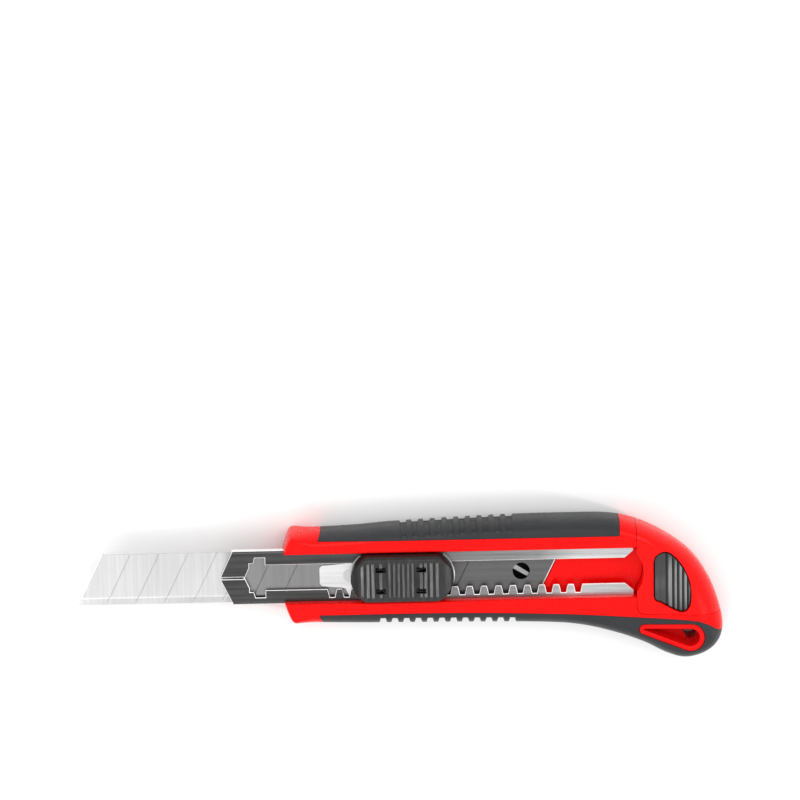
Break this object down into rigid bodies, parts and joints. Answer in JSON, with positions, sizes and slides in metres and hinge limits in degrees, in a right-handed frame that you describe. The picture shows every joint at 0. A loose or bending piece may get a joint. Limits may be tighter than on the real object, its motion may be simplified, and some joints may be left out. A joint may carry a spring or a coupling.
{
  "type": "snap-off knife",
  "caption": "Snap-off utility knife with a sliding segmented blade in a steel sleeve, an auto-lock thumb slider, a spare blade magazine, a rubber grip and a pull-off end cap.",
  "frame": {"origin": "middle of the knife's length and width, on the surface that its back rests on", "axes": "+X along the knife towards the butt, +Y towards the spine, +Z out of the slider face"},
  "size_m": [0.2236, 0.0511, 0.0223],
  "materials": {
    "casing_red": "moulded ABS, glossy",
    "cap_red": "moulded ABS, glossy",
    "plate_red": "moulded ABS, satin",
    "eyelet_red": "moulded ABS, glossy",
    "grip_rubber": "soft-touch thermoplastic rubber, fine matt texture",
    "sleeve_steel": "folded stainless sheet",
    "blade_steel": "ground carbon steel",
    "carrier_steel": "bright plated sheet",
    "rivet_steel": "plated steel",
    "screw_steel": "zinc-plated steel",
    "spring_steel": "spring steel",
    "thumb_plastic": "ribbed moulded plastic",
    "button_plastic": "ribbed moulded plastic"
  },
  "bodies": {
    "handle": {"casing": "casing_red", "rubber_grip": "grip_rubber", "oval_plate": "plate_red", "lanyard_eyelet": "eyelet_red", "blade_sleeve": "sleeve_steel", "sleeve_screws": "screw_steel", "magazine_spring": "spring_steel", "magazine_rivet": "rivet_steel", "spare_blade_1": "blade_steel", "spare_blade_2": "blade_steel"},
    "slider": {"blade": "blade_steel", "carrier": "carrier_steel", "blade_stud": "rivet_steel", "slider_base": "carrier_steel", "slider_rivets": "rivet_steel", "lock_spring": "spring_steel"},
    "thumb": {"thumb_piece": "thumb_plastic"},
    "cap": {"end_cap": "cap_red", "cap_latch": "spring_steel"},
    "button": {"cap_button": "button_plastic"}
  },
  "joints": [
    {"name": "slider_slide", "type": "slide", "parent": "handle", "child": "slider", "axis": [1, 0, 0], "range_m": [-0.02, 0.065]},
    {"name": "thumb_press", "type": "slide", "parent": "slider", "child": "thumb", "axis": [0, 0, -1], "range_m": [0, 0.0008], "stiffness_N_per_m": 1200, "springref_m": -0.0012, "deforming": ["lock_spring"]},
    {"name": "cap_slide", "type": "slide", "parent": "handle", "child": "cap", "axis": [1, 0, 0], "range_m": [0, 0.04]},
    {"name": "button_press", "type": "slide", "parent": "cap", "child": "button", "axis": [0, 0, -1], "range_m": [0, 0.001], "stiffness_N_per_m": 1000, "springref_m": -0.001, "deforming": ["cap_latch"]}
  ]
}
